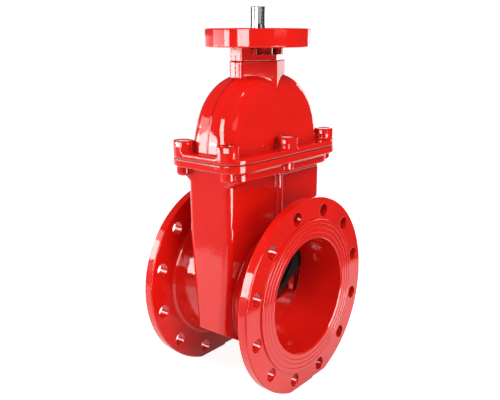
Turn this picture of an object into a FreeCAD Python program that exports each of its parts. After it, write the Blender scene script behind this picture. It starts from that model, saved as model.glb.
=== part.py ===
"""Resilient-seated wedge gate valve for a 200 mm pipe: non-rising stem, flanged ends and a bare
stem end on a round drive flange.

Shapes are drawn about the centre of the bore, in millimetres: X along the flow, Y across the
body, Z up the stem. They are lifted by FOOT_HEIGHT when they are saved, so that the valve
stands on the cast feet of its two flanges at Z = 0. The wedge is saved partly raised.
"""
import FreeCAD, Part
import math
import os

V = FreeCAD.Vector
UP = V(0, 0, 1)
FLOW = V(1, 0, 0)
ACROSS = V(0, 1, 0)

# Ports and pipe flanges
FACE_TO_FACE = 230.0
BORE_D = 200.0
FLANGE_D = 340.0
FLANGE_T = 20.0
RIM_ROUND = 2.0
BOLT_COUNT = 12
BOLT_HOLE_D = 23.0
BOLT_RIM_MARGIN = 22.5
RAISED_MARGIN = 3.0
RAISED_H = 3.0
RAISED_ROUND = 0.8
GROOVE_COUNT = 3
GROOVE_DEPTH = 0.9
GROOVE_W = 1.8
BORE_CHAMFER = 2.0
HUB_RISE = 7.0
HUB_FILLET = 6.0
BARREL_WALL = 11.0
FOOT_WALL = 8.026
FOOT_RELIEF = 2.5
FOOT_RELIEF_FROM = 17.0
FOOT_RELIEF_ROUND = 2.0

# Wedge housing of the body
DRAFT = math.tan(math.radians(4.0))
SEAT_HALF = 25.0
SEAT_STEP = 0.4
CHANNEL_STEP = 13.0
CHANNEL_SLOPE = 32.0
CHANNEL_CORNER = 5.0
END_WALL = 16.0
SIDE_WALL = 10.2
LOW_WALL = 9.0
BOX_CORNER = 13.0
WAIST_RISE = 8.0
CAVITY_RISE = 40.0
BOX_RISE = 138.0
COVE_H = 26.0
RAIL_HALF = 6.0
RAIL_DEPTH = 8.0
SIDE_RIB_R = 7.0

# Joint between body and bonnet
RIM_X = 74.5
RIM_Y = 147.8
RIM_CORNER = 33.5
BODY_RIM_T = 12.0
STEP_INSET = 9.8
STEP_H = 11.0
GASKET_T = 1.6
GASKET_INSET = 2.0
BONNET_PLATE_T = 9.0
COVER_BOLT_INSET_X = 27.3
COVER_BOLT_INSET_Y = 14.9
MIDDLE_BOLT_INSET = 13.0
COVER_BOLT_D = 12.0
COVER_BOLT_L = 36.0
COVER_HEAD_D = 18.0
COVER_HEAD_H = 12.0
BOSS_R = 17.2
BOSS_RISE = 27.8
BOSS_FLOOR = 12.4
BOSS_FILLET = 2.4
LUG_R = 11.5
LUG_H = 15.5
LUG_ROUND = 5.0
PLATE_ROUND = 3.0
SEAL_T = 2.4

# Bonnet dome and neck
DOME_ROOM_Y = 6.2
DOME_WALL = 9.0
DOME_INNER_X = 37.7
DOME_SIDE_R = 215.0
DOME_SHOULDER_R = 96.0
DOME_EDGE_R = 27.0
DOME_HEADROOM = 21.5
PARTING_RIB_T = 3.0
PARTING_RIB_H = 1.0
BONNET_RAIL_H = 52.0
NECK_TIP_X = 39.5
NECK_FACE_X = 13.0
NECK_END_Y = 59.0
NECK_CORNER = 7.0
NECK_CREASE_ROUND = 1.5
NECK_FOOT = 38.0

# Stem, its bearings and seals
STEM_THREAD_D = 28.0
STEM_D = 25.0
STEM_END_D = 24.0
STEM_END_L = 30.0
STEM_SHOULDER_H = 4.8
THREAD_CHAMFER = 2.0
END_CHAMFER = 1.0
COLLAR_D = 42.0
COLLAR_T = 10.0
COLLAR_PLAY = 0.2
KEYWAY_W = 8.0
KEYWAY_DEPTH = 4.0
KEYWAY_L = 28.0
KEYWAY_TURN = -35.0
BUSH_L = 15.0
BUSH_WALL = 4.0
NUT_HEADROOM = 6.0
WASHER_D = 47.0
WASHER_T = 2.5
GLAND_D = 39.8
GLAND_L = 45.0
GLAND_FLANGE_T = 5.0
GLAND_SPIGOT = 2.6
RING_GROOVE_DEPTH = 2.4
RING_GROOVE_W = 3.0
STEM_RING_COUNT = 3
STEM_RING_PITCH = 9.0
BUSH_RING_COUNT = 2
BUSH_RING_PITCH = 13.5
WIPER_T = 4.6
WIPER_LIP_T = 1.5
WIPER_LIP_W = 4.0
WIPER_SLOPE_W = 3.2

# Drive flange on top
NECK_GASKET_T = 0.8
DRIVE_BASE_INSET = 1.4
DRIVE_BASE_T = 9.4
DRIVE_COLUMN_D = 50.0
DRIVE_COLUMN_H = 11.6
DRIVE_FLANGE_D = 175.0
DRIVE_FLANGE_T = 29.4
DRIVE_RIM_ROUND = 2.5
DRIVE_RECESS_D = 100.0
DRIVE_RECESS_DEPTH = 4.0
DRIVE_CIRCLE_D = 140.0
DRIVE_HOLE_D = 18.0
DRIVE_HOLE_COUNT = 4
DRIVE_BOLT_D = 10.0
DRIVE_BOLT_L = 30.0
DRIVE_BOLT_INSET_X = 10.2
DRIVE_BOLT_INSET_Y = 25.0
DRIVE_HEAD_D = 16.0
DRIVE_HEAD_H = 9.6
HEAD_ROUND = 1.0
SOCKET_SHARE = 0.86

# Wedge
OPEN_MARGIN = 3.0
RAISED_NOW = 56.0
WEDGE_SIDE_GAP = 2.0
WEDGE_CORNER = 8.0
WEDGE_LIP_HALF = 12.0
WEDGE_LIP_RISE = 8.0
WEDGE_LIP_ROUND = 2.0
WEDGE_SEAT_ROUND = 4.0
WEDGE_HEAD_ROUND = 3.0
WEDGE_SHOULDER_ROUND = 6.0
WEDGE_HEAD_STEP = 9.0
WEDGE_SHOULDER_Z = 60.0
WEDGE_LIP_TOP = 4.0
WEDGE_HEAD_HALF_X = 25.0
WEDGE_HEAD_HALF_Y = 42.0
WEDGE_HEAD_H = 34.0
POCKET_R = 86.0
POCKET_DEPTH = 7.0
WEDGE_TUBE_HALF = 26.0
RUBBER_T = 4.0
BORE_LINING = 2.0
STEM_ROOM = 1.5
STEM_TIP_ROOM = 3.0
NUT_FOOT_Z = 15.0
NUT_LUG_X = 18.0
NUT_LUG_Y = 28.0
NUT_LUG_T = 12.0
NUT_BARREL_D = 40.0
NUT_H = 32.0
NUT_ROUND = 1.5
SHOE_HALF = 9.0
SHOE_WALL = 2.9
SHOE_LOW = -36.0
SHOE_L = 94.0
SHOE_ROUND = 1.0

# Clearances
SEAL_GAP = 0.3
FIT_GAP = 0.15
RUN_GAP = 0.05
HEAD_ROOM = 1.5
PLUG_GAP = 0.3

# Places worked out from the sizes above
BORE_R = BORE_D / 2
END_X = FACE_TO_FACE / 2
FLANGE_BACK_X = END_X - FLANGE_T
BOLT_CIRCLE_R = FLANGE_D / 2 - BOLT_RIM_MARGIN
BOLT_STEP = 2 * math.pi / BOLT_COUNT
RAISED_R = BOLT_CIRCLE_R - BOLT_HOLE_D / 2 - RAISED_MARGIN
FOOT_HEIGHT = BOLT_CIRCLE_R * math.cos(BOLT_STEP / 2) + BOLT_HOLE_D / 2 + FOOT_WALL
CHANNEL_Y = BORE_R + CHANNEL_STEP
BOX_Y = CHANNEL_Y + END_WALL
BARREL_R = BORE_R + BARREL_WALL
WAIST_Z = BORE_R + WAIST_RISE
JOINT_Z = BORE_R + BOX_RISE
CAVITY_TOP_X = SEAT_HALF + DRAFT * (BORE_R + CAVITY_RISE)
BOX_X = CAVITY_TOP_X + SIDE_WALL
TRAVEL = BORE_D + OPEN_MARGIN
WEDGE_R = BORE_R - SEAL_GAP
WEDGE_Y = CHANNEL_Y - WEDGE_SIDE_GAP
WEDGE_TOP_Z = BORE_R + WEDGE_HEAD_H
NUT_LOW_Z = BORE_R + NUT_FOOT_Z
NUT_TOP_OPEN_Z = NUT_LOW_Z + NUT_H + TRAVEL
BONNET_Z = JOINT_Z + GASKET_T
PLATE_TOP_Z = BONNET_Z + BONNET_PLATE_T
BOSS_TOP_Z = BONNET_Z + BOSS_RISE
HEAD_SEAT_Z = BONNET_Z + BOSS_FLOOR
DOME_Y = CHANNEL_Y + DOME_ROOM_Y + DOME_WALL
DOME_X = DOME_INNER_X + DOME_WALL
DOME_TOP_Z = WEDGE_TOP_Z + TRAVEL + DOME_HEADROOM + DOME_WALL
BUSH_Z = NUT_TOP_OPEN_Z + NUT_HEADROOM
SHELF_Z = BUSH_Z + BUSH_L
COLLAR_Z = SHELF_Z + WASHER_T + COLLAR_PLAY
UPPER_WASHER_Z = COLLAR_Z + COLLAR_T + COLLAR_PLAY
GLAND_Z = UPPER_WASHER_Z + WASHER_T
NECK_TOP_Z = GLAND_Z + GLAND_SPIGOT
DRIVE_Z = NECK_TOP_Z + NECK_GASKET_T
LEDGE_Z = DRIVE_Z + DRIVE_BASE_T
DISC_Z = LEDGE_Z + DRIVE_COLUMN_H
DISC_TOP_Z = DISC_Z + DRIVE_FLANGE_T
RECESS_Z = DISC_TOP_Z - DRIVE_RECESS_DEPTH
STEM_SHOULDER_Z = DISC_TOP_Z + STEM_SHOULDER_H
STEM_TOP_Z = STEM_SHOULDER_Z + STEM_END_L
STEM_TIP_Z = NUT_LOW_Z
STEM_BORE_R = STEM_THREAD_D / 2 + STEM_ROOM
HOUSING_R = WASHER_D / 2 + SEAL_GAP
BUSH_HOLE_R = STEM_THREAD_D / 2 + BUSH_WALL
GLAND_HOLE_R = GLAND_D / 2 + FIT_GAP
RAIL_Y = CHANNEL_Y - RAIL_DEPTH


def lay_xy(z):
    """Map an outline's (u, v) onto the level z."""
    return lambda u, v: V(u, v, z)


def lay_yz(x):
    """Map an outline's (u, v) to (y, z) on the upright plane at x."""
    return lambda u, v: V(x, u, v)


def lay_xz(y):
    """Map an outline's (u, v) to (x, z) on the upright plane at y."""
    return lambda u, v: V(u, y, v)


def rounded_wire(corners, lay):
    """Closed wire through corners (u, v, radius), each corner rounded by its own radius."""
    rounds = []
    for index, (u, v, radius) in enumerate(corners):
        here = V(u, v, 0)
        last = corners[index - 1]
        following = corners[(index + 1) % len(corners)]
        back = (V(last[0], last[1], 0) - here).normalize()
        on = (V(following[0], following[1], 0) - here).normalize()
        half = back.getAngle(on) / 2
        reach = radius / math.tan(half)
        inward = (back + on).normalize()
        middle = here + inward * (radius / math.sin(half) - radius)
        rounds.append([here + back * reach, middle, here + on * reach])
    edges = []
    for index, (start, middle, end) in enumerate(rounds):
        before = rounds[index - 1][2]
        if before.distanceToPoint(start) > 1e-6:
            edges.append(Part.makeLine(lay(before.x, before.y), lay(start.x, start.y)))
        if start.distanceToPoint(end) > 1e-6:
            points = [lay(point.x, point.y) for point in (start, middle, end)]
            edges.append(Part.Arc(*points).toShape())
    return Part.Wire(edges)


def mirrored(right_side):
    """Close an outline given by its corners on the side where u is positive."""
    return right_side + [(-u, v, radius) for u, v, radius in reversed(right_side)]


def rectangle(half_u, half_v, radius=0.0):
    """Corners of a rounded rectangle about the origin."""
    return [(half_u, -half_v, radius), (half_u, half_v, radius),
            (-half_u, half_v, radius), (-half_u, -half_v, radius)]


def upright(corners, low, high):
    """Prism of an outline in XY, from one level to another."""
    return Part.Face(rounded_wire(corners, lay_xy(low))).extrude(UP * (high - low))


def crosswise(corners, half):
    """Prism of an outline in YZ, reaching half to each side of X = 0."""
    return Part.Face(rounded_wire(corners, lay_yz(-half))).extrude(FLOW * (2 * half))


def lengthwise(corners, half):
    """Prism of an outline in XZ, reaching half to each side of Y = 0."""
    return Part.Face(rounded_wire(corners, lay_xz(-half))).extrude(ACROSS * (2 * half))


def turned_about_z(corners):
    """Turned solid from an outline of (radius, z) corners."""
    return Part.Face(rounded_wire(corners, lay_xz(0))).revolve(V(0, 0, 0), UP, 360)


def turned_about_x(corners):
    """Turned solid from an outline of (x, radius) corners."""
    return Part.Face(rounded_wire(corners, lay_xz(0))).revolve(V(0, 0, 0), FLOW, 360)


def rod(radius, low, high, x=0.0, y=0.0):
    """Upright cylinder."""
    return Part.makeCylinder(radius, high - low, V(x, y, low), UP)


def block(half_x, half_y, low, high):
    """Upright block about the stem's axis."""
    return Part.makeBox(2 * half_x, 2 * half_y, high - low, V(-half_x, -half_y, low))


def ring(inner, outer, low, high):
    """Flat ring about the stem's axis."""
    return rod(outer, low, high).cut(rod(inner, low - 1, high + 1))


def stacked(sections):
    """Straight-sided solid through rounded rectangles (z, half_x, half_y, corner)."""
    wires = [rounded_wire(rectangle(half_x, half_y, corner), lay_xy(z))
             for z, half_x, half_y, corner in sections]
    return Part.makeLoft(wires, True, True)


def rounded_edges(solid, radius, wanted):
    """Round the edges whose centre of mass passes the test."""
    edges = [edge for edge in solid.Edges if wanted(edge.CenterOfMass)]
    return solid.makeFillet(radius, edges)


def joined(first, others):
    """One solid from overlapping ones, without seams."""
    return first.fuse(others).removeSplitter()


def bolt_places():
    """The six bolts of the bonnet: four at the corners, two beside the middle."""
    corner_x = RIM_X - COVER_BOLT_INSET_X
    corner_y = RIM_Y - COVER_BOLT_INSET_Y
    side_x = RIM_X - MIDDLE_BOLT_INSET
    corners = [(sx * corner_x, sy * corner_y) for sx in (-1, 1) for sy in (-1, 1)]
    return corners + [(-side_x, 0.0), (side_x, 0.0)]


def drive_bolt_places():
    """The four bolts of the drive flange, inside the neck's slanting sides."""
    y = NECK_END_Y - DRIVE_BOLT_INSET_Y
    side_x = NECK_TIP_X - (NECK_TIP_X - NECK_FACE_X) * y / NECK_END_Y
    x = side_x - DRIVE_BOLT_INSET_X
    return [(sx * x, sy * y) for sx in (-1, 1) for sy in (-1, 1)]


def seat_half(z):
    """Half distance between the two seat planes at a height."""
    return SEAT_HALF + DRAFT * z


def slope_z(radius, y):
    """Height of the line at CHANNEL_SLOPE that touches a circle about the bore, at y."""
    slope = math.radians(CHANNEL_SLOPE)
    return (math.sin(slope) * y - radius) / math.cos(slope)


def pipe_and_flanges():
    """Barrel with both pipe flanges, turned about the bore."""
    half = [(END_X, BORE_R / 2, 0), (END_X, RAISED_R, RAISED_ROUND),
            (END_X - RAISED_H, RAISED_R, 0), (END_X - RAISED_H, FLANGE_D / 2, RIM_ROUND),
            (FLANGE_BACK_X, FLANGE_D / 2, RIM_ROUND),
            (FLANGE_BACK_X, BARREL_R + HUB_RISE, HUB_FILLET),
            (BOX_X, BARREL_R, 0)]
    other = [(-x, r, rounding) for x, r, rounding in reversed(half)]
    return turned_about_x(half + other)


def flange_holes():
    """Bolt holes of both flanges; the pattern straddles the centre lines."""
    holes = []
    for index in range(BOLT_COUNT):
        angle = BOLT_STEP * (index + 0.5)
        y = BOLT_CIRCLE_R * math.cos(angle)
        z = BOLT_CIRCLE_R * math.sin(angle)
        for start in (-END_X - 1, FLANGE_BACK_X - HUB_FILLET):
            length = FLANGE_T + HUB_FILLET + 1
            holes.append(Part.makeCylinder(BOLT_HOLE_D / 2, length, V(start, y, z), FLOW))
    return holes


def face_grooves():
    """Shallow gasket grooves in both raised faces."""
    grooves = []
    first = BORE_R + BORE_CHAMFER
    pitch = (RAISED_R - first) / (GROOVE_COUNT + 1)
    for index in range(GROOVE_COUNT):
        r = first + (index + 1) * pitch
        for side in (-1, 1):
            face = side * END_X
            deep = side * (END_X - GROOVE_DEPTH)
            outline = [(deep, r, 0), (face + side, r - GROOVE_W, 0), (face + side, r + GROOVE_W, 0)]
            grooves.append(turned_about_x(outline))
    return grooves


def foot_cuts():
    """Material under the two flange feet, which stand a step lower on one side."""
    width = FLANGE_D + 2
    deep = FLANGE_D
    under = Part.makeBox(FACE_TO_FACE + 2, width, deep,
                         V(-END_X - 1, -width / 2, -FOOT_HEIGHT - deep))
    relief = [(FOOT_RELIEF_FROM, -FOOT_HEIGHT - 1, 0), (FLANGE_D / 2, -FOOT_HEIGHT - 1, 0),
              (FLANGE_D / 2, -FOOT_HEIGHT + FOOT_RELIEF, 0),
              (FOOT_RELIEF_FROM, -FOOT_HEIGHT + FOOT_RELIEF, FOOT_RELIEF_ROUND)]
    return [under, crosswise(relief, END_X + 1)]


def housing_prism(radius, half_y, corner, top, half_x):
    """Wedge housing across the flow: round below, then sloping out to upright sides."""
    knee_z = slope_z(radius, half_y)
    return crosswise([(half_y, top, 0), (half_y, knee_z, corner), (0.0, slope_z(radius, 0.0), radius),
                      (-half_y, knee_z, corner), (-half_y, top, 0)], half_x)


def box_outside():
    """Tapered housing of the wedge, from under the bore up to the joint."""
    knee_z = slope_z(BARREL_R, BOX_Y)
    low_x = seat_half(knee_z) + LOW_WALL
    bottom_z = knee_z - END_WALL * 2
    bottom_x = low_x - (BOX_X - low_x) / (WAIST_Z - knee_z) * (knee_z - bottom_z)
    walls = stacked([(bottom_z, bottom_x, BOX_Y, BOX_CORNER),
                     (WAIST_Z, BOX_X, BOX_Y, BOX_CORNER),
                     (JOINT_Z, BOX_X, BOX_Y, BOX_CORNER)])
    floor = housing_prism(BARREL_R, BOX_Y + 1, BOX_CORNER / 2, JOINT_Z + 1, BOX_X + 1)
    return walls.common(floor)


def joint_flange():
    """Flange under the bonnet, stepped below its long sides, with the bolt lugs."""
    rim_low = JOINT_Z - BODY_RIM_T
    rim = upright(rectangle(RIM_X, RIM_Y, RIM_CORNER), rim_low, JOINT_Z)
    rim = rounded_edges(rim, RIM_ROUND, lambda centre: centre.z < rim_low + 0.01)
    step_x = RIM_X - STEP_INSET
    step_corner = RIM_CORNER - STEP_INSET
    reach = STEP_INSET / 2
    under = stacked([(rim_low - COVE_H, BOX_X, BOX_Y, BOX_CORNER),
                     (rim_low - reach - STEP_H, step_x, BOX_Y, step_corner),
                     (rim_low - reach, step_x, BOX_Y, step_corner),
                     (rim_low + 1, RIM_X - reach, RIM_Y - reach, RIM_CORNER - reach)])
    lugs = []
    for x, y in bolt_places():
        lug = rod(LUG_R, rim_low - LUG_H, rim_low + 1, x, y)
        lugs.append(rounded_edges(lug, LUG_ROUND, lambda centre: centre.z < rim_low - LUG_H + 1))
    return [rim, under] + lugs


def side_ribs():
    """Half-round ribs under the two middle bolts, down to the barrel."""
    return [rod(SIDE_RIB_R, BORE_R, JOINT_Z - BODY_RIM_T - STEP_H, side * BOX_X, 0)
            for side in (-1, 1)]


def body_cavity():
    """Space inside the body: the slot of the wedge, with its guide channels, up to the joint."""
    knee_z = slope_z(BORE_R, CHANNEL_Y)
    taper_top = BORE_R + CAVITY_RISE
    taper = lengthwise(mirrored([(seat_half(-BORE_R - 2), -BORE_R - 2, 0),
                                 (CAVITY_TOP_X, taper_top, 0),
                                 (CAVITY_TOP_X, JOINT_Z + 1, 0)]), CHANNEL_Y + 1)
    slot = housing_prism(BORE_R + SEAT_STEP, CHANNEL_Y, CHANNEL_CORNER, JOINT_Z + 1, BOX_X)
    void = slot.common(taper)
    rails = []
    for side in (-1, 1):
        y = side * (RAIL_Y + CHANNEL_Y) / 2
        rail = Part.makeBox(2 * RAIL_HALF, RAIL_DEPTH + 2, JOINT_Z - knee_z + 4,
                            V(-RAIL_HALF, y - RAIL_DEPTH / 2 - (2 if side < 0 else 0), knee_z - 2))
        rails.append(rail)
    return void.cut(rails)


def body():
    """Body casting: barrel, pipe flanges, wedge housing and the joint's flange."""
    solid = joined(pipe_and_flanges(), [box_outside()] + joint_flange() + side_ribs())
    bore = turned_about_x([(-END_X - 1, 0, 0), (END_X + 1, 0, 0),
                           (END_X + 1, BORE_R + BORE_CHAMFER + 1, 0),
                           (END_X - BORE_CHAMFER, BORE_R, 0), (-END_X + BORE_CHAMFER, BORE_R, 0),
                           (-END_X - 1, BORE_R + BORE_CHAMFER + 1, 0)])
    solid = solid.cut(bore).cut(body_cavity())
    threads = []
    for x, y in bolt_places():
        tip = HEAD_SEAT_Z - COVER_BOLT_L - 1
        threads.append(rod(COVER_BOLT_D / 2 + FIT_GAP, tip, JOINT_Z + 1, x, y))
    return solid.cut(flange_holes() + face_grooves() + foot_cuts() + threads)


def bonnet_gasket():
    """Flat gasket between body and bonnet."""
    outer = rectangle(RIM_X - GASKET_INSET, RIM_Y - GASKET_INSET, RIM_CORNER - GASKET_INSET)
    inner_x = DOME_INNER_X + GASKET_INSET
    inner_y = DOME_Y - DOME_WALL + GASKET_INSET
    sheet = upright(outer, JOINT_Z, BONNET_Z)
    window = upright(rectangle(inner_x, inner_y, BOX_CORNER), JOINT_Z - 1, BONNET_Z + 1)
    holes = [rod(COVER_BOLT_D / 2 + 2 * SEAL_GAP, JOINT_Z - 1, BONNET_Z + 1, x, y)
             for x, y in bolt_places()]
    return sheet.cut([window] + holes)


def arch(inset, half_x):
    """Dome profile in YZ from tangent arcs, set in by a wall, as a block across the flow."""
    rise = DOME_TOP_Z - DOME_SHOULDER_R - BONNET_Z
    between = DOME_SIDE_R - DOME_SHOULDER_R
    lean = math.asin(rise / between)
    side = V(0, DOME_Y - DOME_SIDE_R, BONNET_Z)
    shoulder = side + V(0, between * math.cos(lean), rise)
    side_r = DOME_SIDE_R - inset
    shoulder_r = DOME_SHOULDER_R - inset

    def point(centre, radius, angle, sign):
        spot = centre + V(0, radius * math.cos(angle), radius * math.sin(angle))
        return V(-half_x, sign * spot.y, spot.z)

    edges = []
    for sign in (-1, 1):
        foot, bend, meet = [point(side, side_r, angle, sign) for angle in (0, lean / 2, lean)]
        turn = (lean + math.pi / 2) / 2
        over, crown = [point(shoulder, shoulder_r, angle, sign) for angle in (turn, math.pi / 2)]
        edges.append(Part.Arc(foot, bend, meet).toShape())
        edges.append(Part.Arc(meet, over, crown).toShape())
    feet = [point(side, side_r, 0, sign) for sign in (-1, 1)]
    crowns = [point(shoulder, shoulder_r, math.pi / 2, sign) for sign in (-1, 1)]
    edges += [Part.makeLine(*feet), Part.makeLine(*crowns)]
    wire = Part.Wire(Part.__sortEdges__(edges))
    return Part.Face(wire).extrude(FLOW * (2 * half_x))


def dome(inset):
    """Dome as a solid, set in by a wall: the arch between two sloping sides, edges rounded."""
    half_x = DOME_X - inset
    high = DOME_TOP_Z + 1
    sides = lengthwise(mirrored([(half_x, BONNET_Z, 0),
                                 (half_x - DRAFT * (high - BONNET_Z), high, 0)]), DOME_Y + 1)
    solid = arch(inset, half_x + 1).common(sides)
    return rounded_edges(solid, DOME_EDGE_R - inset,
                         lambda centre: abs(centre.x) > PARTING_RIB_T and centre.z > BONNET_Z + 1)


def neck_outline(inset):
    """Six-sided outline of the neck, with round corners at its two ends."""
    slant = math.hypot(NECK_END_Y, NECK_TIP_X - NECK_FACE_X)
    tip = NECK_TIP_X - inset * slant / NECK_END_Y
    end_y = NECK_END_Y - inset
    face = tip - (NECK_TIP_X - NECK_FACE_X) * end_y / NECK_END_Y
    corner = NECK_CORNER - inset
    return [(tip, 0, NECK_CREASE_ROUND), (face, end_y, corner), (-face, end_y, corner),
            (-tip, 0, NECK_CREASE_ROUND), (-face, -end_y, corner), (face, -end_y, corner)]


def bolt_boss(x, y):
    """Boss around one bolt, round on top and hollow at its foot, where it meets the plate."""
    foot_r = BOSS_R + BOSS_FILLET
    boss = turned_about_z([(0, BONNET_Z, 0), (foot_r, BONNET_Z, 0), (foot_r, PLATE_TOP_Z, 0),
                           (BOSS_R, PLATE_TOP_Z, BOSS_FILLET - FIT_GAP),
                           (BOSS_R, BOSS_TOP_Z, RIM_ROUND), (0, BOSS_TOP_Z, 0)])
    boss.translate(V(x, y, 0))
    return boss


def bonnet_outside():
    """Dome, joint plate, bolt bosses and neck as one casting."""
    rim = rectangle(RIM_X, RIM_Y, RIM_CORNER)
    plate = upright(rim, BONNET_Z, PLATE_TOP_Z)
    plate = rounded_edges(plate, PLATE_ROUND, lambda centre: centre.z > PLATE_TOP_Z - 0.01)
    within = upright(rim, BONNET_Z, BOSS_TOP_Z + 1)
    parts = [plate] + [bolt_boss(x, y).common(within) for x, y in bolt_places()]
    parting = arch(-PARTING_RIB_H, PARTING_RIB_T / 2)
    neck = upright(neck_outline(0), DOME_TOP_Z - NECK_FOOT, NECK_TOP_Z)
    return joined(dome(0), parts + [parting, neck])


def bonnet_rails():
    """Guide rails inside the dome, in line with those of the body."""
    top = BONNET_Z + BONNET_RAIL_H
    rails = []
    for side in (-1, 1):
        low_y = RAIL_Y if side > 0 else -DOME_Y
        rail = Part.makeBox(2 * RAIL_HALF, DOME_Y - RAIL_Y, top - BONNET_Z,
                            V(-RAIL_HALF, low_y, BONNET_Z))
        rails.append(rail)
    return rails


def bonnet():
    """Bonnet casting, hollow for the raised wedge, with the stem's bearing seats in its neck."""
    inside = dome(DOME_WALL).cut(bonnet_rails())
    cuts = [inside, rod(BUSH_HOLE_R + FIT_GAP, DOME_TOP_Z - 2 * DOME_WALL, SHELF_Z + 1),
            rod(HOUSING_R, SHELF_Z, NECK_TOP_Z + 1)]
    for x, y in bolt_places():
        cuts.append(rod(COVER_BOLT_D / 2 + SEAL_GAP, BONNET_Z - 1, HEAD_SEAT_Z + 1, x, y))
        cuts.append(rod(COVER_HEAD_D / 2 + HEAD_ROOM, HEAD_SEAT_Z, BOSS_TOP_Z + 1, x, y))
    for x, y in drive_bolt_places():
        tip = LEDGE_Z - DRIVE_BOLT_L - 1
        cuts.append(rod(DRIVE_BOLT_D / 2 + FIT_GAP, tip, NECK_TOP_Z + 1, x, y))
    return bonnet_outside().cut(cuts)


def socket_screw(x, y, seat, shank_d, length, head_d, head_h):
    """Cap screw with a hexagon socket, standing upright with its head's underside at seat."""
    head = rod(head_d / 2, seat, seat + head_h, x, y)
    head = rounded_edges(head, HEAD_ROUND, lambda centre: centre.z > seat + head_h - 0.01)
    across = shank_d * SOCKET_SHARE / math.sqrt(3)
    points = [(x + across * math.cos(math.pi / 3 * k), y + across * math.sin(math.pi / 3 * k), 0)
              for k in range(6)]
    socket = upright(points, seat + head_h / 2, seat + head_h + 1)
    shank = rod(shank_d / 2, seat - length, seat, x, y)
    return joined(head, [shank]).cut(socket)


def bonnet_bolts():
    """Six sunk cap screws that hold the bonnet."""
    return Part.Compound([socket_screw(x, y, HEAD_SEAT_Z, COVER_BOLT_D, COVER_BOLT_L,
                                       COVER_HEAD_D, COVER_HEAD_H) for x, y in bolt_places()])


def bolt_seals():
    """Wax plugs that close the sunk bolt holes."""
    low = HEAD_SEAT_Z + COVER_HEAD_H + FIT_GAP
    radius = COVER_HEAD_D / 2 + HEAD_ROOM - PLUG_GAP
    return Part.Compound([rod(radius, low, low + SEAL_T, x, y) for x, y in bolt_places()])


def neck_gasket():
    """Thin gasket between neck and drive flange."""
    sheet = upright(neck_outline(2 * DRIVE_BASE_INSET), NECK_TOP_Z, DRIVE_Z)
    holes = [rod(DRIVE_BOLT_D / 2 + SEAL_GAP, NECK_TOP_Z - 1, DRIVE_Z + 1, x, y)
             for x, y in drive_bolt_places()]
    return sheet.cut(holes + [rod(HOUSING_R + 1, NECK_TOP_Z - 1, DRIVE_Z + 1)])


def drive_flange():
    """Round drive flange on a block with two end walls and a column between them."""
    wall_y = NECK_END_Y - DRIVE_BOLT_INSET_Y + DRIVE_HEAD_D / 2 + 2 * SEAL_GAP
    base = upright(neck_outline(DRIVE_BASE_INSET), DRIVE_Z, DISC_Z + 1)
    base = base.cut(block(NECK_TIP_X, wall_y, LEDGE_Z, DISC_Z + 2))
    column = rod(DRIVE_COLUMN_D / 2, LEDGE_Z - 1, DISC_Z + 1)
    disc_r = DRIVE_FLANGE_D / 2
    disc = turned_about_z([(0, DISC_Z, 0), (disc_r, DISC_Z, DRIVE_RIM_ROUND),
                           (disc_r, DISC_TOP_Z, DRIVE_RIM_ROUND),
                           (DRIVE_RECESS_D / 2, DISC_TOP_Z, 0), (DRIVE_RECESS_D / 2, RECESS_Z, 0),
                           (0, RECESS_Z, 0)])
    solid = joined(base, [column, disc])
    cuts = [rod(GLAND_HOLE_R, DRIVE_Z - 1, DISC_TOP_Z),
            rod(HOUSING_R, DRIVE_Z - 1, GLAND_Z + GLAND_FLANGE_T)]
    for x, y in drive_bolt_places():
        cuts.append(rod(DRIVE_BOLT_D / 2 + SEAL_GAP, DRIVE_Z - 1, LEDGE_Z + 1, x, y))
        cuts.append(rod(DRIVE_HEAD_D / 2 + 2 * SEAL_GAP, DISC_Z - 1, DISC_TOP_Z + 1, x, y))
    for index in range(DRIVE_HOLE_COUNT):
        angle = math.radians(360.0 / DRIVE_HOLE_COUNT * (index + 0.5))
        x = DRIVE_CIRCLE_D / 2 * math.cos(angle)
        y = DRIVE_CIRCLE_D / 2 * math.sin(angle)
        cuts.append(rod(DRIVE_HOLE_D / 2, DISC_Z - 1, DISC_TOP_Z + 1, x, y))
    return solid.cut(cuts)


def drive_flange_bolts():
    """Four cap screws that hold the drive flange to the neck."""
    return Part.Compound([socket_screw(x, y, LEDGE_Z, DRIVE_BOLT_D, DRIVE_BOLT_L,
                                       DRIVE_HEAD_D, DRIVE_HEAD_H)
                          for x, y in drive_bolt_places()])


def stem():
    """Stem: thread below the thrust collar, sealing land above it, keyed end on top."""
    thread_r = STEM_THREAD_D / 2
    land_r = STEM_D / 2
    end_r = STEM_END_D / 2
    collar_top = COLLAR_Z + COLLAR_T
    solid = turned_about_z([(0, STEM_TIP_Z, 0), (thread_r - THREAD_CHAMFER, STEM_TIP_Z, 0),
                            (thread_r, STEM_TIP_Z + THREAD_CHAMFER, 0), (thread_r, COLLAR_Z, 0),
                            (COLLAR_D / 2, COLLAR_Z, END_CHAMFER),
                            (COLLAR_D / 2, collar_top, END_CHAMFER),
                            (land_r, collar_top, 0), (land_r, STEM_SHOULDER_Z, 0),
                            (end_r, STEM_SHOULDER_Z, 0), (end_r, STEM_TOP_Z - END_CHAMFER, 0),
                            (end_r - END_CHAMFER, STEM_TOP_Z, 0), (0, STEM_TOP_Z, 0)])
    half = KEYWAY_W / 2
    low = STEM_TOP_Z - KEYWAY_L + half
    floor = end_r - KEYWAY_DEPTH
    slot = Part.makeBox(end_r, KEYWAY_W, KEYWAY_L, V(floor, -half, low))
    end = Part.makeCylinder(half, end_r, V(floor, 0, low), FLOW)
    solid = solid.cut(slot.fuse(end))
    solid.rotate(V(0, 0, 0), UP, KEYWAY_TURN)
    return solid


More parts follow.
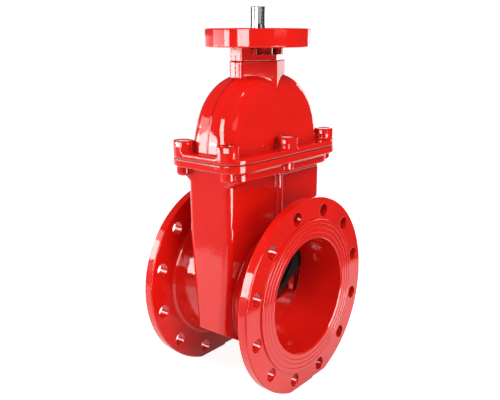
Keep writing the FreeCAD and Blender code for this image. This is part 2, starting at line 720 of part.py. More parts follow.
def stem_bush():
    """Bearing bush of the stem in the top of the bonnet."""
    return ring(STEM_THREAD_D / 2 + RUN_GAP, BUSH_HOLE_R, BUSH_Z, SHELF_Z)


def lower_thrust_washer():
    """Slide washer under the stem's collar."""
    return ring(STEM_THREAD_D / 2 + SEAL_GAP, WASHER_D / 2, SHELF_Z, SHELF_Z + WASHER_T)


def upper_thrust_washer():
    """Slide washer over the stem's collar."""
    return ring(STEM_D / 2 + SEAL_GAP, WASHER_D / 2, UPPER_WASHER_Z, GLAND_Z)


def stem_ring_levels():
    """Middle heights of the grooves for the rings on the stem."""
    first = GLAND_Z + GLAND_FLANGE_T + STEM_RING_PITCH
    return [first + index * STEM_RING_PITCH for index in range(STEM_RING_COUNT)]


def bush_ring_levels():
    """Middle heights of the grooves for the rings around the gland bush."""
    first = GLAND_Z + GLAND_FLANGE_T + BUSH_RING_PITCH
    return [first + index * BUSH_RING_PITCH for index in range(BUSH_RING_COUNT)]


def gland_bush():
    """Gland bush with ring grooves inside and outside."""
    bore_r = STEM_D / 2 + RUN_GAP
    outer_r = GLAND_D / 2
    top = GLAND_Z + GLAND_L
    solid = ring(bore_r, outer_r, GLAND_Z, top)
    flange = ring(bore_r, WASHER_D / 2, GLAND_Z, GLAND_Z + GLAND_FLANGE_T - FIT_GAP)
    half = RING_GROOVE_W / 2
    cuts = [rod(bore_r + RING_GROOVE_DEPTH, z - half, z + half) for z in stem_ring_levels()]
    cuts += [ring(outer_r - RING_GROOVE_DEPTH, outer_r + 1, z - half, z + half)
             for z in bush_ring_levels()]
    return joined(solid, [flange]).cut(cuts)


def seal_ring(inner, outer, z):
    """Round-section rubber ring that fills the space between two radii."""
    section = (outer - inner) / 2
    return Part.makeTorus(inner + section, section, V(0, 0, z), UP)


def stem_seal_rings():
    """Rubber rings between stem and gland bush."""
    inner = STEM_D / 2 + FIT_GAP
    outer = STEM_D / 2 + RING_GROOVE_DEPTH
    return Part.Compound([seal_ring(inner, outer, z) for z in stem_ring_levels()])


def bush_seal_rings():
    """Rubber rings between gland bush and drive flange."""
    inner = GLAND_D / 2 - RING_GROOVE_DEPTH + RUN_GAP
    outer = GLAND_HOLE_R - RUN_GAP
    return Part.Compound([seal_ring(inner, outer, z) for z in bush_ring_levels()])


def wiper_ring():
    """Dirt wiper around the stem, over the gland bush."""
    low = GLAND_Z + GLAND_L + FIT_GAP
    inner = STEM_D / 2 + SEAL_GAP
    outer = GLAND_D / 2
    top = low + WIPER_T
    lip_low = top - WIPER_LIP_T
    lip_r = inner + WIPER_LIP_W
    return turned_about_z([(inner, low, 0), (outer, low, 0), (outer, lip_low, 0),
                           (lip_r, lip_low, 0), (lip_r - WIPER_SLOPE_W, top, 0), (inner, top, 0)])


def wedge_blank(inset):
    """Wedge in its closed place, set in by the rubber's thickness, without holes."""
    radius = WEDGE_R - inset
    half_y = WEDGE_Y - inset
    top = WEDGE_TOP_Z - inset
    head_y = WEDGE_HEAD_HALF_Y - inset
    outline = housing_prism(radius, half_y, WEDGE_CORNER - inset, WEDGE_SHOULDER_Z, SEAT_HALF * 2)
    head = crosswise(mirrored([(half_y, 0, 0), (half_y, WEDGE_SHOULDER_Z, WEDGE_SHOULDER_ROUND),
                               (head_y, top, WEDGE_HEAD_ROUND)]), SEAT_HALF * 2)
    lip_top = BORE_R + WEDGE_LIP_TOP
    head_x = WEDGE_HEAD_HALF_X - inset
    lip_z = WEDGE_LIP_RISE - radius
    profile = mirrored([(WEDGE_LIP_HALF - inset, -radius - 0.5, WEDGE_LIP_ROUND),
                        (seat_half(lip_z) - SEAL_GAP - inset, lip_z, WEDGE_SEAT_ROUND),
                        (seat_half(lip_top) - SEAL_GAP - inset, lip_top, WEDGE_HEAD_ROUND),
                        (head_x, lip_top + WEDGE_HEAD_STEP, WEDGE_HEAD_ROUND),
                        (head_x, top, WEDGE_HEAD_ROUND)])
    return outline.fuse(head).common(lengthwise(profile, WEDGE_Y + 1))


def wedge_pockets(inset):
    """Shallow pockets in both faces, either side of the tube around the stem's bore."""
    tube = WEDGE_TUBE_HALF - inset
    radius = POCKET_R + inset
    tools = []
    for face in (-1, 1):
        floor = SEAT_HALF - SEAL_GAP - POCKET_DEPTH - inset
        disc = Part.makeCylinder(radius, BORE_R, V(floor, 0, 0), FLOW)
        strip = Part.makeBox(BORE_R, 2 * tube, 4 * radius, V(floor, -tube, -2 * radius))
        tool = disc.cut(strip)
        tool.rotate(V(0, 0, 0), ACROSS, math.degrees(math.atan(DRAFT)))
        if face < 0:
            tool = tool.mirror(V(0, 0, 0), FLOW)
        tools.append(tool)
    return tools


def nut_slot(gap):
    """Slot along the flow in the wedge's head, where the nut's lugs slide in."""
    low = NUT_LOW_Z - gap
    lug = block(BORE_R, NUT_LUG_Y + gap, low, NUT_LOW_Z + NUT_LUG_T + gap)
    way = block(BORE_R, NUT_BARREL_D / 2 + gap, low, WEDGE_TOP_Z + 1)
    return lug.fuse(way)


def guide_grooves(gap):
    """Grooves down both sides of the wedge for the guide shoes."""
    grooves = []
    depth_y = RAIL_Y - SEAL_GAP - SHOE_WALL - gap
    for side in (-1, 1):
        low_y = depth_y if side > 0 else -depth_y - BORE_R
        grooves.append(Part.makeBox(2 * (SHOE_HALF + gap), BORE_R, 3 * BORE_R,
                                    V(-SHOE_HALF - gap, low_y, -BORE_R)))
    return grooves


def stem_bore(radius, spare):
    """Blind bore that takes the stem when the wedge is open."""
    return rod(radius, STEM_TIP_Z - TRAVEL - STEM_TIP_ROOM - spare, WEDGE_TOP_Z + 1)


def wedge_core():
    """Iron core of the wedge, inside its rubber."""
    cuts = wedge_pockets(RUBBER_T) + guide_grooves(FIT_GAP + BORE_LINING)
    cuts += [nut_slot(FIT_GAP), stem_bore(STEM_BORE_R + BORE_LINING, BORE_LINING)]
    return wedge_blank(RUBBER_T).cut(cuts)


def wedge_rubber():
    """Rubber coat of the wedge, which seals on the body's seats."""
    cuts = wedge_pockets(0) + guide_grooves(FIT_GAP)
    cuts += [nut_slot(FIT_GAP), stem_bore(STEM_BORE_R, 0)]
    return wedge_blank(0).cut(cuts).cut(wedge_core())


def wedge_nut():
    """Brass stem nut with two lugs that hang in the wedge's head."""
    lugs = block(NUT_LUG_X, NUT_LUG_Y, NUT_LOW_Z, NUT_LOW_Z + NUT_LUG_T)
    barrel = rod(NUT_BARREL_D / 2, NUT_LOW_Z, NUT_LOW_Z + NUT_H)
    barrel = rounded_edges(barrel, NUT_ROUND, lambda centre: centre.z > NUT_LOW_Z + NUT_H - 0.01)
    bore = rod(STEM_THREAD_D / 2 + SEAL_GAP, NUT_LOW_Z - 1, NUT_LOW_Z + NUT_H + 1)
    return joined(lugs, [barrel]).cut(bore)


def guide_shoe(side):
    """Plastic shoe in the wedge's side groove, running on the guide rail."""
    channel_y = RAIL_Y - SEAL_GAP
    low_y = channel_y - SHOE_WALL
    outline = [(SHOE_HALF, low_y, 0), (SHOE_HALF, WEDGE_Y, SHOE_ROUND),
               (-SHOE_HALF, WEDGE_Y, SHOE_ROUND), (-SHOE_HALF, low_y, 0)]
    outside = upright(outline, SHOE_LOW, SHOE_LOW + SHOE_L)
    half = RAIL_HALF + SEAL_GAP
    channel = Part.makeBox(2 * half, WEDGE_Y, SHOE_L + 2, V(-half, channel_y, SHOE_LOW - 1))
    shoe = outside.cut(channel)
    return shoe if side > 0 else shoe.mirror(V(0, 0, 0), ACROSS)


FIXED_PARTS = {
    "body": body,
    "bonnet_gasket": bonnet_gasket,
    "bonnet": bonnet,
    "bonnet_bolts": bonnet_bolts,
    "bolt_seals": bolt_seals,
    "neck_gasket": neck_gasket,
    "drive_flange": drive_flange,
    "drive_flange_bolts": drive_flange_bolts,
    "stem_bush": stem_bush,
    "lower_thrust_washer": lower_thrust_washer,
    "upper_thrust_washer": upper_thrust_washer,
    "gland_bush": gland_bush,
    "stem_seal_rings": stem_seal_rings,
    "bush_seal_rings": bush_seal_rings,
    "wiper_ring": wiper_ring,
    "stem": stem,
}

WEDGE_PARTS = {
    "wedge_core": wedge_core,
    "wedge_rubber": wedge_rubber,
    "wedge_nut": wedge_nut,
    "guide_shoe_left": lambda: guide_shoe(-1),
    "guide_shoe_right": lambda: guide_shoe(1),
}


def save(name, shape, lift):
    """Write one sub-part, lifted to its height over the floor."""
    shape.translate(UP * lift)
    shape.exportStep(os.path.join("parts", name + ".step"))
    print(name, "solids", len(shape.Solids), "valid", shape.isValid(),
          "volume", round(shape.Volume / 1000.0, 2), "cm3")


def main():
    os.makedirs("parts", exist_ok=True)
    for name, make in FIXED_PARTS.items():
        save(name, make(), FOOT_HEIGHT)
    for name, make in WEDGE_PARTS.items():
        save(name, make(), FOOT_HEIGHT + RAISED_NOW)


main()
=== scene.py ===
"""Looks of the wedge gate valve: materials, cast and machined detail, studio light and camera."""
import math

import bmesh
import bpy
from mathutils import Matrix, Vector, noise


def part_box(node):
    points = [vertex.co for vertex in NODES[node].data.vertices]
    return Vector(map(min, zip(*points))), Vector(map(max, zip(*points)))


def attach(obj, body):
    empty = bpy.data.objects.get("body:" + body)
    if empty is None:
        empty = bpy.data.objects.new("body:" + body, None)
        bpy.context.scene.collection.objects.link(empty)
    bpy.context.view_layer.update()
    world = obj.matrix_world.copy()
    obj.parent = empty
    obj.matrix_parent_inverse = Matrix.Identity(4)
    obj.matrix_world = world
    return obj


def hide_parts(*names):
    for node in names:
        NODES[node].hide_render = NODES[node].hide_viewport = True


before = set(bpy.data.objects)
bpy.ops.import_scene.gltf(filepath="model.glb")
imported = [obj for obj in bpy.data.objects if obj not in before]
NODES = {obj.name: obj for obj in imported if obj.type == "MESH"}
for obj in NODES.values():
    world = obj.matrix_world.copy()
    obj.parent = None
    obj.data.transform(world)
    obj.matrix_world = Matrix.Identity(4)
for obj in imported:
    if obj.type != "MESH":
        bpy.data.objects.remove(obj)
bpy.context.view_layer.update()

# Camera, in metres and degrees
CAMERA_AT = (0.683521, -0.866109, 0.588209)
CAMERA_TURN = 38.979
CAMERA_TILT = 14.054
CAMERA_LENS = 46.752
SENSOR_W = 36.0

# Light of the room around the set, and the white that camera and reflections see there
ROOM_LIGHT = 0.16
BACKGROUND_WHITE = 1.0
# Soft lamps: azimuth in degrees from +X, distance, low and high edge, width in metres, radiance
LAMPS = {
    "softbox_left": (-138, 1.6, 0.30, 1.15, 1.10, 6.6),
    "softbox_front": (-82, 1.7, 0.45, 1.25, 0.75, 1.5),
    "softbox_right": (-6, 1.5, 0.08, 0.60, 0.80, 2.8),
    "softbox_side": (90, 1.8, 0.25, 1.10, 0.75, 2.6),
    "softbox_behind": (165, 1.9, 0.30, 1.20, 1.20, 2.4),
}
# What only the gloss shows of them, from nearer by, in the same order of values
SHINES = {
    "shine_left": (-140, 0.77, 0.33, 0.555, 0.50, 14.0),
    "shine_left_top": (-140, 0.77, 0.555, 0.70, 0.50, 3.5),
    "shine_left_low": (-118, 0.87, 0.26, 0.61, 0.17, 15.0),
    "shine_front": (-82, 0.90, 0.38, 0.92, 0.38, 15.0),
    "shine_right": (-5, 0.66, 0.05, 0.485, 0.32, 15.0),
    "shine_haze": (-5, 1.20, 0.60, 0.80, 0.58, 1.3),
    "shine_side": (84, 1.10, 0.25, 0.80, 0.24, 5.0),
    "shine_rear": (106, 1.10, 0.25, 0.80, 0.55, 1.9),
    "shine_behind": (165, 1.9, 0.30, 0.90, 1.20, 1.3),
}
# Overhead lamps: place, size, radiance; and the height they aim at
TOP_LAMP = ((1.5, -0.5, 2.0), 1.3, 7.0)
TOP_SHINE = ((1.75, 0.45, 2.30), 0.16, 22.0)
TOP_AIM_Z = 0.4

# Dark cards that only the gloss shows: azimuth from and to, distance, low and high edge
FLAGS = {
    "flag_front": (-118, 98, 2.7, 0.0, 3.2),
    "flag_back": (98, 242, 2.7, 0.60, 3.2),
}
FLAG_STEPS = 24
CEILING_Z = 2.6
CARD_BLACK = (0.01, 0.01, 0.01)
FLAG_DARK = 0.09
FLAG_GREY = 0.5
# Where the white table ends for the gloss, and the height of the cards that lie around it
TABLE_X = 0.37
TABLE_Y = -0.68
CARD_Z = 0.002

FLOOR_HALF = 8.0
FLOOR_WHITE = (0.85, 0.85, 0.85)
FLOOR_LIT = (0.6, 0.6, 0.6, 1)
# Distance from the floor's middle and its white for the gloss, which stands in for the shade there
FLOOR_BANDS = ((0.05, 0.25), (0.16, 0.86), (0.80, 1.0))
# White of the floor for the camera, where the object shades it fully
FLOOR_SHOWN = 0.86

# Sizes that part.py names, in metres
BORE_Z = 0.1620
WEDGE_R = 0.0997
CORNER_BOLT = (0.0472, 0.1329)
MIDDLE_BOLT_X = 0.0615
NECK_END_Y = 0.059
DRIVE_BASE_END_Y = 0.0576
DRIVE_BASE_T = 0.0094

# Red epoxy: mean colour, its two tones, and the painted shade in narrow corners
PAINT_RED = (0.80, 0.011, 0.006)
PAINT_TONES = ((0.77, 0.0100, 0.0055), (0.83, 0.0120, 0.0065))
PAINT_SHADED_RED = (0.40, 0.0040, 0.0025)
# Reach of the corners' painted shade, and the open sky there from fully shaded to full colour
SHADE_REACH = 0.09
SHADE_OPEN = (0.12, 0.72)
# Relief of the cast skin: scale, detail, roughness and height; then the paint's own orange peel
CAST_RELIEF = ((38, 2, 0.5, 0.00042), (150, 2, 0.55, 0.00011), (270, 1, 0.5, 0.000035))
PAINT_RELIEF = (520, 1, 0.5, 0.000012)
PAINT_RELIEF_SHARE = 0.8
# Machined and crisp from here on: back of the flanges, wall of the bore, raised faces
CRISP_FLANGE_X = (0.090, 0.094)
CRISP_BORE_R = (0.1035, 0.1015)
CRISP_EDGE = 0.0010
RAISED_FACE_X = (0.110, 0.1118)
MACHINED_SHARE = 0.25
CAST_EDGE = 0.0028
# Bonnet: rounder edges, calmer skin, and ends that slope from their parting line above a height
BONNET_EDGE = 0.0038
BONNET_WAVE = 0.55
DRAFT = 0.12
DRAFT_FROM = (0.42, 0.45)
# Turned drive flange and its screws: relief and radius of the edges
DRIVE_WAVE, DRIVE_EDGE = 0.25, 0.0009
SCREW_WAVE, SCREW_EDGE = 0.3, 0.0008

# Painted sheen: a paler band round the wedge's edge, standing in for the light on its sealing band
WEDGE_SHEEN_BAND = 0.006
WEDGE_SHEEN_FADE = 0.001

# Sealing wax over the bolt heads; the plug at the front corner has fallen out
WAX_R = 0.0102
WAX_T = 0.0022
WAX_RINGS = ((0.18, 0.6), (0.42, 0.62), (0.66, 0.45), (0.86, 0.18), (0.97, 0.0), (1.0, 0.12))
WAX_TURNS = 28
WAX_BELOW = 0.0001
WAX_SINK = 0.0006
WAX_LUMP = 0.00028
WAX_LUMP_SCALE = 260
NO_WAX = (0.0472, -0.1329)

# Bead of the parting line: outline across it, along X and out from the casting
BEAD = ((-0.0011, -0.0006), (-0.0007, 0.00025), (0, 0.0005), (0.0007, 0.00025), (0.0011, -0.0006))
BEAD_END = 0.0004
NECK_BEAD_L = 0.045
FOOT_BEAD_END = 0.001


def principled(name, color, roughness, metallic=0.0, specular=0.5):
    """A new material with plain values on its shader's own sockets."""
    material = bpy.data.materials.new(name)
    material.use_nodes = True
    shader = material.node_tree.nodes["Principled BSDF"]
    shader.inputs["Base Color"].default_value = (*color, 1.0)
    shader.inputs["Roughness"].default_value = roughness
    shader.inputs["Metallic"].default_value = metallic
    shader.inputs["Specular IOR Level"].default_value = specular
    return material, material.node_tree, shader


def dress(node, material):
    """Give a CAD node its material."""
    mesh = NODES[node].data
    mesh.materials.clear()
    mesh.materials.append(material)


def make_camera():
    """The photo's camera, solved from the flanges and the disc on top."""
    data = bpy.data.cameras.new("camera")
    data.lens = CAMERA_LENS
    data.sensor_width = SENSOR_W
    camera = bpy.data.objects.new("camera", data)
    camera.location = CAMERA_AT
    camera.rotation_euler = (math.radians(90 - CAMERA_TILT), 0, math.radians(CAMERA_TURN))
    bpy.context.scene.collection.objects.link(camera)
    bpy.context.scene.camera = camera


def link(tree, a, out, b, into):
    """Join one node's output to another's input."""
    tree.links.new(a.outputs[out], b.inputs[into])


def show_ray(tree):
    """1 for camera, glossy and transmission rays, so that the gloss shows the background too."""
    path = tree.nodes.new("ShaderNodeLightPath")
    value = path.outputs["Is Camera Ray"]
    for name in ("Is Glossy Ray", "Is Transmission Ray"):
        add = tree.nodes.new("ShaderNodeMath")
        add.operation = "MAXIMUM"
        tree.links.new(value, add.inputs[0])
        tree.links.new(path.outputs[name], add.inputs[1])
        value = add.outputs[0]
    return value


def make_world():
    """White background over a dim, even room."""
    world = bpy.data.worlds.new("studio")
    world.use_nodes = True
    tree = world.node_tree
    room = tree.nodes["Background"]
    room.inputs["Color"].default_value = (1, 1, 1, 1)
    room.inputs["Strength"].default_value = ROOM_LIGHT
    white = tree.nodes.new("ShaderNodeBackground")
    white.inputs["Color"].default_value = (1, 1, 1, 1)
    white.inputs["Strength"].default_value = BACKGROUND_WHITE
    mix = tree.nodes.new("ShaderNodeMixShader")
    tree.links.new(show_ray(tree), mix.inputs[0])
    link(tree, room, 0, mix, 1)
    link(tree, white, 0, mix, 2)
    link(tree, mix, 0, tree.nodes["World Output"], 0)
    bpy.context.scene.world = world
    bpy.context.scene.view_settings.view_transform = "Standard"


def stage_sheet(name, corners, faces, material, glossy_only=False):
    """A sheet of the set, which only the gloss shows where that is asked for."""
    mesh = bpy.data.meshes.new(name)
    mesh.from_pydata(corners, [], faces)
    mesh.materials.append(material)
    sheet = bpy.data.objects.new(name, mesh)
    bpy.context.scene.collection.objects.link(sheet)
    if glossy_only:
        sheet.visible_camera = False
        sheet.visible_diffuse = False
        sheet.visible_shadow = False
        sheet.visible_transmission = False


def sheet_at(x0, x1, y0, y1, z):
    """Corners and face of a level rectangle."""
    return [(x0, y0, z), (x1, y0, z), (x1, y1, z), (x0, y1, z)], [(0, 1, 2, 3)]


def grey(white):
    """Colour of this lightness."""
    return white, white, white, 1


def floor_white(tree):
    """The floor's white by distance, dimmer near the middle as painted shade: for the gloss fully,
    and for the camera never below a nearly full white.
    """
    where = tree.nodes.new("ShaderNodeTexCoord")
    away = tree.nodes.new("ShaderNodeVectorMath")
    away.operation = "LENGTH"
    link(tree, where, "Object", away, 0)
    fade = tree.nodes.new("ShaderNodeValToRGB")
    near, middle, far = FLOOR_BANDS
    bands = fade.color_ramp.elements
    for band, (distance, white) in zip(bands, (near, far)):
        band.position = distance
        band.color = grey(white)
    bands.new(middle[0]).color = grey(middle[1])
    link(tree, away, "Value", fade, "Fac")
    path = tree.nodes.new("ShaderNodeLightPath")
    shown = tree.nodes.new("ShaderNodeMath")
    shown.operation = "MULTIPLY"
    shown.inputs[1].default_value = FLOOR_SHOWN
    link(tree, path, "Is Camera Ray", shown, 0)
    white = tree.nodes.new("ShaderNodeMath")
    white.operation = "MAXIMUM"
    link(tree, fade, 0, white, 0)
    link(tree, shown, 0, white, 1)
    return white


def make_floor():
    """White floor that keeps the object's shadow."""
    material, tree, shader = principled("floor_white", FLOOR_WHITE, 0.9, specular=0.0)
    glow = tree.nodes.new("ShaderNodeEmission")
    link(tree, floor_white(tree), 0, glow, "Strength")
    lit = tree.nodes.new("ShaderNodeBsdfDiffuse")
    lit.inputs["Color"].default_value = FLOOR_LIT
    shown = tree.nodes.new("ShaderNodeAddShader")
    link(tree, glow, 0, shown, 0)
    link(tree, lit, 0, shown, 1)
    mix = tree.nodes.new("ShaderNodeMixShader")
    tree.links.new(show_ray(tree), mix.inputs[0])
    link(tree, shader, 0, mix, 1)
    link(tree, shown, 0, mix, 2)
    link(tree, mix, 0, tree.nodes["Material Output"], 0)
    size = FLOOR_HALF
    stage_sheet("floor", *sheet_at(-size, size, -size, size, 0), material)


def polar(azimuth, distance, height):
    """Point at this azimuth in degrees, distance and height from the origin."""
    turn = math.radians(azimuth)
    return Vector((distance * math.cos(turn), distance * math.sin(turn), height))


def area_lamp(name, at, width, length, radiance, shine, aim_z):
    """Soft lamp that either lights or only shows in the reflections."""
    data = bpy.data.lights.new(name, "AREA")
    data.shape = "RECTANGLE"
    data.size, data.size_y = width, length
    data.energy = radiance * math.pi * width * length
    lamp = bpy.data.objects.new(name, data)
    lamp.location = at
    aim = Vector((0, 0, aim_z))
    lamp.rotation_euler = (aim - Vector(at)).to_track_quat("-Z", "Y").to_euler()
    lamp.visible_camera = False
    lamp.visible_diffuse = not shine
    lamp.visible_glossy = shine
    bpy.context.scene.collection.objects.link(lamp)


def ring(azimuth_from, azimuth_to, distance, low, high):
    """Corners and faces of an upright curved card about the origin."""
    corners = []
    for k in range(FLAG_STEPS + 1):
        azimuth = azimuth_from + (azimuth_to - azimuth_from) * k / FLAG_STEPS
        corners += [polar(azimuth, distance, low), polar(azimuth, distance, high)]
    return corners, [(2 * k, 2 * k + 2, 2 * k + 3, 2 * k + 1) for k in range(FLAG_STEPS)]


def card(name, glow):
    """Material of a dark card, as bright as a room of this lightness around the set."""
    material, _, shader = principled(name, CARD_BLACK, 1.0, specular=0.0)
    shader.inputs["Emission Color"].default_value = (1, 1, 1, 1)
    shader.inputs["Emission Strength"].default_value = glow
    return material


def make_lights():
    """Lamps that light, lamps that shine in the gloss, and the cards around them."""
    for table in (LAMPS, SHINES):
        for name, (azimuth, distance, low, high, width, radiance) in table.items():
            at = polar(azimuth, distance, (low + high) / 2)
            area_lamp(name, at, width, high - low, radiance, table is SHINES, at[2])
    for name, (at, size, radiance) in (("softbox_top", TOP_LAMP), ("shine_top", TOP_SHINE)):
        area_lamp(name, at, size, size, radiance, name == "shine_top", TOP_AIM_Z)
    dark, pale = card("flag_dark", FLAG_DARK), card("flag_grey", FLAG_GREY)
    for name, values in FLAGS.items():
        stage_sheet(name, *ring(*values), dark, True)
    far = FLOOR_HALF
    stage_sheet("flag_ceiling", *sheet_at(-far, far, -far, far, CEILING_Z), dark, True)
    stage_sheet("flag_right", *sheet_at(TABLE_X, far, -far, far, CARD_Z), dark, True)
    stage_sheet("flag_near", *sheet_at(-far, TABLE_X, -far, TABLE_Y, CARD_Z), pale, True)


class Recipe:
    """One material, with short words for building its nodes."""

    def __init__(self, name, color, roughness, metallic=0.0, specular=0.5):
        self.material, self.tree, self.shader = principled(name, color, roughness, metallic,
                                                           specular)
        self.place = self.tree.nodes.new("ShaderNodeTexCoord").outputs["Object"]
        self.normal = None

    def feed(self, socket, value):
        """Join a socket's value to an input, or set it."""
        if isinstance(value, bpy.types.NodeSocket):
            self.tree.links.new(value, socket)
        else:
            socket.default_value = value

    def node(self, kind, inputs, **settings):
        node = self.tree.nodes.new("ShaderNode" + kind)
        for key, value in settings.items():
            setattr(node, key, value)
        for key, value in inputs.items():
            self.feed(node.inputs[key], value)
        return node

    def into(self, socket, value):
        self.tree.links.new(value, self.shader.inputs[socket])

    def noise(self, scale, detail=2.0, rough=0.5, stretch=None):
        place = self.place
        if stretch:
            place = self.node("Mapping", {"Vector": place, "Scale": stretch}).outputs[0]
        return self.node("TexNoise", {"Vector": place, "Scale": scale, "Detail": detail,
                                      "Roughness": rough}).outputs["Fac"]

    def math(self, operation, a, b=0.0):
        return self.node("Math", {0: a, 1: b}, operation=operation).outputs[0]

    def span(self, value, low, high, to_low=0.0, to_high=1.0):
        """Map the range from low to high on to the range from to_low to to_high."""
        return self.node("MapRange", {"Value": value, "From Min": low, "From Max": high,
                                      "To Min": to_low, "To Max": to_high}).outputs[0]

    def axis(self, name):
        return self.node("SeparateXYZ", {0: self.place}).outputs[name]

    def reach(self, height):
        """Distance from an axis along X at this height."""
        side = self.axis("Y")
        up = self.math("SUBTRACT", self.axis("Z"), height)
        return self.math("SQRT", self.math("ADD", self.math("MULTIPLY", side, side),
                                           self.math("MULTIPLY", up, up)))

    def blend(self, share, first, second):
        """Mix two colours."""
        node = self.node("Mix", {"Factor": share}, data_type="RGBA")
        for key, value in ((6, first), (7, second)):
            self.feed(node.inputs[key], (*value, 1.0) if isinstance(value, tuple) else value)
        return node.outputs[2]

    def clouds(self, noise, low, high, first, second):
        """Colour in soft clouds between two tones."""
        self.into("Base Color", self.blend(self.span(noise, low, high), first, second))

    def dull(self, noise, low, high, least, most):
        """Roughness in soft clouds."""
        self.into("Roughness", self.span(noise, low, high, least, most))

    def bump(self, height, distance, strength=1.0):
        """Add one layer of relief, its height in metres for a height value of 1."""
        inputs = {"Height": height, "Distance": distance, "Strength": strength}
        if self.normal:
            inputs["Normal"] = self.normal
        self.normal = self.node("Bump", inputs).outputs[0]
        self.into("Normal", self.normal)

    def soften(self, radius, samples=8):
        """Round the look of sharp edges."""
        self.normal = self.node("Bevel", {"Radius": radius}, samples=samples).outputs[0]
        self.into("Normal", self.normal)


def red_paint(name, wave=1.0, edge=CAST_EDGE, draft=0.0):
    """Glossy fusion-bonded epoxy over a sand casting, flatter and crisper where it was machined,
    with painted shade darkening its corners and recesses.
    """
    r = Recipe(name, PAINT_RED, 0.06)
    flow = r.math("ABSOLUTE", r.axis("X"))
    crisp = r.math("MAXIMUM", r.span(flow, *CRISP_FLANGE_X), r.span(r.reach(BORE_Z), *CRISP_BORE_R))
    r.soften(r.span(crisp, 0, 1, edge, min(edge, CRISP_EDGE)))
    if draft:
        slope = r.math("MULTIPLY", flow, r.span(r.axis("Z"), *DRAFT_FROM, 0.0, -1.0))
        r.bump(slope, draft)
    cast = r.span(r.span(flow, *RAISED_FACE_X), 0, 1, wave, MACHINED_SHARE * wave)
    for scale, detail, rough, height in CAST_RELIEF:
        r.bump(r.noise(scale, detail, rough), height, cast)
    scale, detail, rough, height = PAINT_RELIEF
    r.bump(r.noise(scale, detail, rough), height, PAINT_RELIEF_SHARE)
    tone = r.blend(r.span(r.noise(9, 3), 0.3, 0.7), *PAINT_TONES)
    # Painted shade: the red darkens in corners and recesses where little open sky reaches them
    sky = r.node("AmbientOcclusion", {"Distance": SHADE_REACH}, samples=8).outputs["AO"]
    r.clouds(sky, *SHADE_OPEN, PAINT_SHADED_RED, tone)
    r.dull(r.noise(60, 3), 0.3, 0.75, 0.045, 0.085)
    return r.material


def smooth_rubber(name, color):
    """Moulded black rubber of gaskets and rings."""
    r = Recipe(name, color, 0.42, specular=0.4)
    r.soften(0.0006, 4)
    r.clouds(r.noise(45, 4), 0.35, 0.7, color, tuple(1.7 * c for c in color))
    r.dull(r.noise(120, 3), 0.3, 0.7, 0.34, 0.54)
    r.bump(r.noise(900, 2), 0.00002, 0.7)
    return r.material


def wedge_rubber():
    """Vulcanised coating: satin black, with a painted sheen as a paler band round the disc's edge.
    """
    r = Recipe("vulcanised_rubber", (0.008, 0.008, 0.009), 0.4, specular=0.2)
    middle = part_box("wedge_rubber")[0][2] + WEDGE_R
    r.soften(0.0012, 6)
    inner = WEDGE_R - WEDGE_SHEEN_BAND
    # Painted sheen: the paler band stands in for the light on the sealing band round the edge
    band = r.span(r.reach(middle), inner, inner + WEDGE_SHEEN_FADE)
    cloud = r.span(r.noise(35, 4, 0.6), 0.3, 0.7)
    dark = r.blend(cloud, (0.004, 0.004, 0.0045), (0.009, 0.009, 0.010))
    pale = r.blend(cloud, (0.016, 0.017, 0.016), (0.028, 0.029, 0.028))
    r.into("Base Color", r.blend(band, dark, pale))
    r.dull(r.noise(80, 3), 0.3, 0.7, 0.32, 0.50)
    r.bump(r.noise(60, 2), 0.0002, 0.6)
    r.bump(r.noise(700, 2), 0.00002, 0.6)
    return r.material


def turned_metal(name, color, roughness, lines, more=0.10, depth=0.000004, edge=0.0005):
    """Turned metal: fine tool marks round the stem's axis, with a few duller patches."""
    r = Recipe(name, color, roughness, 1.0)
    r.soften(edge, 4)
    r.bump(r.noise(1.0, 2, 0.6, (60, 60, lines)), depth)
    r.clouds(r.noise(70, 3), 0.35, 0.7, color, tuple(0.86 * c for c in color))
    r.dull(r.noise(30, 4), 0.3, 0.75, roughness, roughness + more)
    return r.material


def cast_iron(name):
    """Bare ductile iron, as cast."""
    r = Recipe(name, (0.10, 0.095, 0.09), 0.55, 0.9)
    r.clouds(r.noise(50, 5), 0.35, 0.7, (0.075, 0.07, 0.066), (0.15, 0.13, 0.115))
    r.dull(r.noise(140, 3), 0.3, 0.7, 0.45, 0.7)
    r.bump(r.noise(300, 3), 0.0001, 0.8)
    return r.material


def moulded_plastic(name, color):
    """Natural slide plastic."""
    r = Recipe(name, color, 0.4)
    r.soften(0.0005, 4)
    r.clouds(r.noise(60, 3), 0.35, 0.7, color, tuple(1.12 * c for c in color))
    r.dull(r.noise(200, 3), 0.3, 0.7, 0.34, 0.5)
    r.bump(r.noise(800, 2), 0.00001, 0.6)
    return r.material


def wax():
    """Off-white sealing wax, smeared grey where it was wiped level."""
    r = Recipe("sealing_wax", (0.66, 0.64, 0.60), 0.45)
    r.soften(0.0006, 4)
    smear = r.noise(60, 4, 0.6, (3.0, 0.7, 1.0))
    r.clouds(smear, 0.50, 0.68, (0.78, 0.77, 0.74), (0.30, 0.295, 0.29))
    r.dull(r.noise(150, 2), 0.3, 0.7, 0.30, 0.6)
    r.bump(r.noise(220, 3), 0.0003, 0.9)
    return r.material


def add_piece(name, corners, faces, material):
    """A closed mesh that belongs to the valve's fixed body."""
    mesh = bpy.data.meshes.new(name)
    mesh.from_pydata(corners, [], faces)
    build = bmesh.new()
    build.from_mesh(mesh)
    bmesh.ops.recalc_face_normals(build, faces=build.faces)
    for face in build.faces:
        face.smooth = True
    build.to_mesh(mesh)
    build.free()
    mesh.materials.append(material)
    piece = bpy.data.objects.new(name, mesh)
    bpy.context.scene.collection.objects.link(piece)
    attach(piece, "valve")
    return piece


def bolt_places():
    """Middles of the six bonnet bolts."""
    x, y = CORNER_BOLT
    return [(-x, -y), (-x, y), (x, -y), (x, y), (-MIDDLE_BOLT_X, 0), (MIDDLE_BOLT_X, 0)]


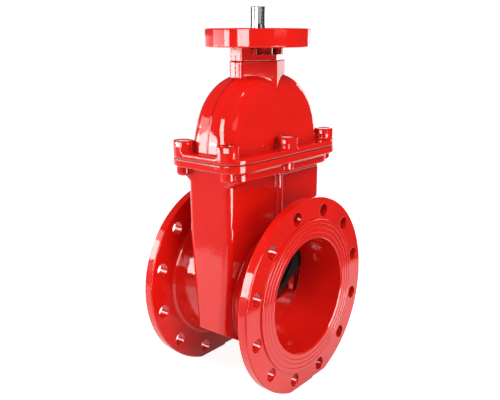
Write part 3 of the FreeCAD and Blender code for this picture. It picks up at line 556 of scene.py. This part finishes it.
def wax_skin(x, y, number, top):
    """Points of one plug's face, ring by ring: sunk in the middle, with uneven lumps."""
    points = []
    for share, sink in WAX_RINGS:
        for k in range(WAX_TURNS):
            angle = 2 * math.pi * k / WAX_TURNS
            reach = WAX_R * share
            spot = Vector((x + reach * math.cos(angle), y + reach * math.sin(angle), 0))
            lump = noise.noise(spot * WAX_LUMP_SCALE + Vector((0, 0, number)))
            rise = lump * WAX_LUMP * (1 - share ** 3) - WAX_SINK * sink - WAX_BELOW
            points.append((spot.x, spot.y, top + rise))
    return points


def wax_plugs():
    """Wax over the bolt heads, as closed discs."""
    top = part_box("bolt_seals")[1][2]
    corners, faces = [], []
    for number, (x, y) in enumerate(bolt_places()):
        if (x, y) == NO_WAX:
            continue
        start = len(corners)
        skin = wax_skin(x, y, number, top)
        corners += skin + [(px, py, top - WAX_T) for px, py, _ in skin[-WAX_TURNS:]]
        last = start + len(WAX_RINGS) * WAX_TURNS
        for row in range(start, last, WAX_TURNS):
            for k in range(WAX_TURNS):
                a, b = row + k, row + (k + 1) % WAX_TURNS
                faces.append((a, b, b + WAX_TURNS, a + WAX_TURNS))
        faces += [tuple(row + k for k in range(WAX_TURNS)) for row in (start, last)]
    piece = add_piece("wax_plugs", corners, faces, wax())
    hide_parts("bolt_seals")


def parting_beads(material):
    """Fine bead of the castings' parting line, up both ends of the neck and of the drive's foot."""
    neck_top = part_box("neck_gasket")[0][2]
    base_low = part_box("neck_gasket")[1][2]
    runs = ((NECK_END_Y, neck_top - NECK_BEAD_L, neck_top - BEAD_END),
            (DRIVE_BASE_END_Y, base_low + BEAD_END, base_low + DRIVE_BASE_T - FOOT_BEAD_END))
    count = len(BEAD)
    corners, faces = [], []
    for sign in (-1, 1):
        for end_y, low, high in runs:
            start = len(corners)
            for z in (low, high):
                corners += [(x, sign * (end_y + out), z) for x, out in BEAD]
            for k in range(count):
                a, b = start + k, start + (k + 1) % count
                faces.append((a, b, b + count, a + count))
            faces += [tuple(row + k for k in range(count)) for row in (start, start + count)]
    add_piece("parting_beads", corners, faces, material)


def dress_valve():
    """Materials of all nodes, and the pieces of wax and casting that the solids leave out."""
    red = red_paint("red_epoxy")
    dress("body", red)
    dress("bonnet", red_paint("red_epoxy_bonnet", BONNET_WAVE, BONNET_EDGE, DRAFT))
    dress("drive_flange", red_paint("red_epoxy_drive_flange", DRIVE_WAVE, DRIVE_EDGE))
    dress("drive_flange_bolts", red_paint("red_epoxy_screws", SCREW_WAVE, SCREW_EDGE))
    dress("bonnet_bolts", turned_metal("zinc_plate", (0.48, 0.48, 0.47), 0.30, 400))
    wax_plugs()
    parting_beads(red)
    for node in ("bonnet_gasket", "neck_gasket", "stem_seal_rings", "bush_seal_rings",
                 "wiper_ring"):
        dress(node, smooth_rubber(node + "_rubber", (0.006, 0.006, 0.0065)))
    dress("wedge_rubber", wedge_rubber())
    dress("wedge_core", cast_iron("bare_cast_iron"))
    dress("stem", turned_metal("stainless_steel", (0.50, 0.49, 0.48), 0.12, 1400, 0.06,
                               0.0000005, 0.0001))
    for node in ("stem_bush", "gland_bush", "wedge_nut"):
        dress(node, turned_metal(node + "_brass", (0.68, 0.48, 0.20), 0.28, 1500))
    for node in ("lower_thrust_washer", "upper_thrust_washer"):
        dress(node, moulded_plastic(node + "_plastic", (0.62, 0.60, 0.54)))
    for node in ("guide_shoe_left", "guide_shoe_right"):
        dress(node, moulded_plastic(node + "_plastic", (0.56, 0.55, 0.50)))


make_camera()
make_world()
make_floor()
make_lights()
dress_valve()
